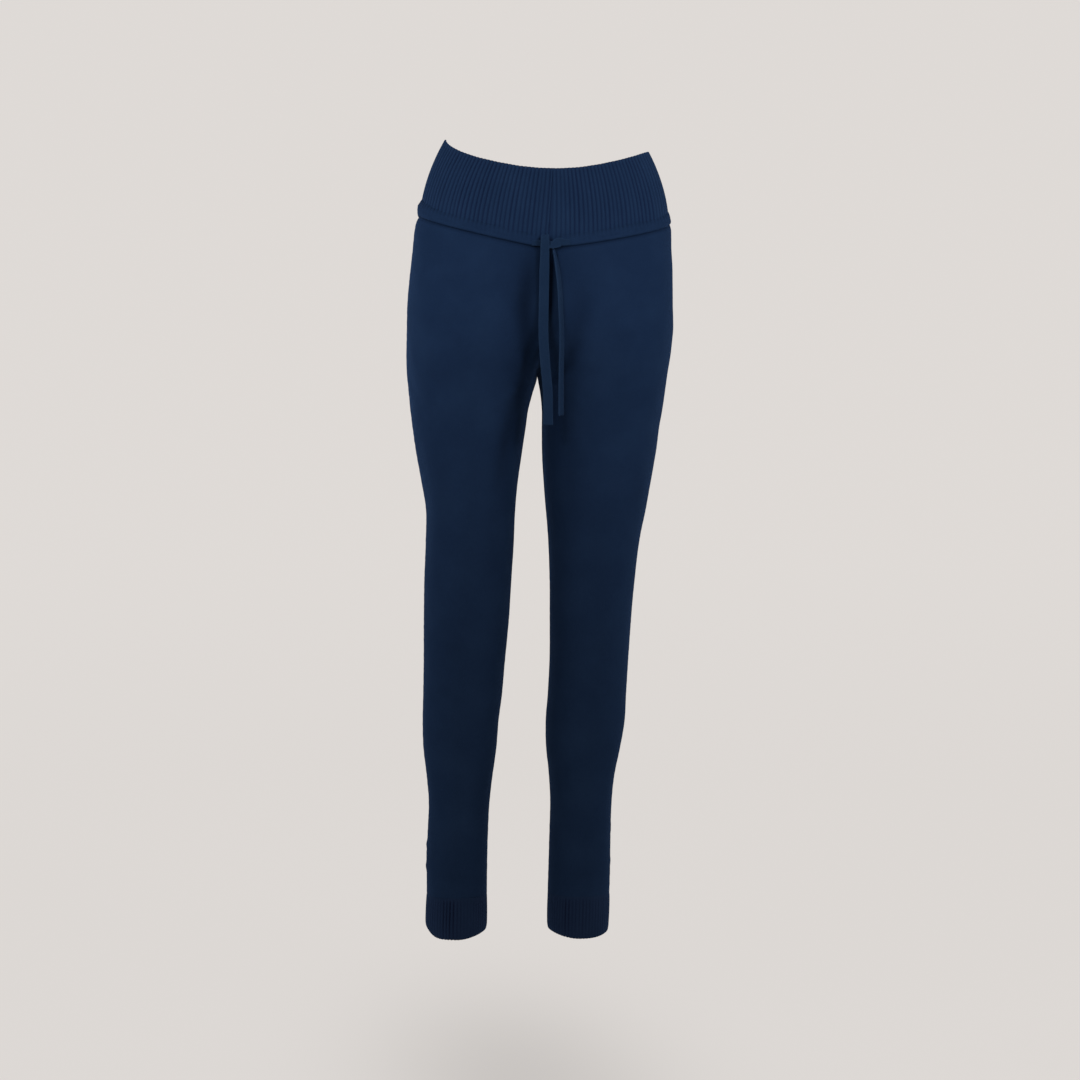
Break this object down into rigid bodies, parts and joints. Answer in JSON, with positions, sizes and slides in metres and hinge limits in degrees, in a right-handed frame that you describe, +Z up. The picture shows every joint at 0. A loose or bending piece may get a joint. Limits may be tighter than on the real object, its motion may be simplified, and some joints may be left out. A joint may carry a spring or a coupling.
{
  "type": "high-waisted sweatpants",
  "caption": "High-waisted knitted sweatpants, filled out with no wearer: deep rib waistband with a drawstring tunnel, tapered legs, rib cuffs.",
  "frame": {"origin": "the middle of the waist opening, level with the front of its rim", "axes": "+Z up out of the waist opening, -Y to the front of the garment, +X to the wearer's left"},
  "size_m": [0.3452, 0.2663, 1.03],
  "materials": {
    "jersey_knit": "matte fine jersey knit, navy",
    "rib_knit": "matte rib knit, navy",
    "drawstring_knit": "matte flat knitted tape, navy"
  },
  "bodies": {
    "root": {"waistband_front": "rib_knit", "waistband_back": "rib_knit", "drawstring_casing": "jersey_knit", "front_right": "jersey_knit", "front_left": "jersey_knit", "back_right": "jersey_knit", "back_left": "jersey_knit", "cuff_right": "rib_knit", "cuff_left": "rib_knit", "tie_knot": "drawstring_knit", "tie_end_right": "drawstring_knit", "tie_end_left": "drawstring_knit"}
  },
  "joints": []
}
